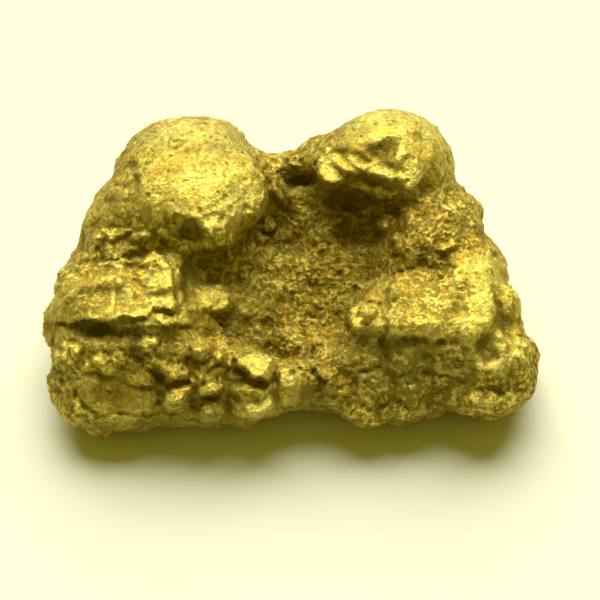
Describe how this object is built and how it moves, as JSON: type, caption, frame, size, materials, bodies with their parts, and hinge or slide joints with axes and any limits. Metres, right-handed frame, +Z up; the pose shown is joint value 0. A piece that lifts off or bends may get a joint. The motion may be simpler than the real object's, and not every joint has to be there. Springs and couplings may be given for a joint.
{
  "type": "gold nugget",
  "caption": "Irregular native gold nugget with rounded humps, a rough hollow between them and blocky crusted feet, lying on its broad underside.",
  "frame": {"origin": "middle of the bounding box's bottom face, on the plane that the nugget lies on", "axes": "+X along the nugget's length, +Z up from the plane it lies on; its show face looks towards -Y and up"},
  "size_m": [0.0251, 0.0179, 0.0083],
  "materials": {
    "native_gold": null
  },
  "bodies": {
    "root": {"nugget": "native_gold"}
  },
  "joints": []
}
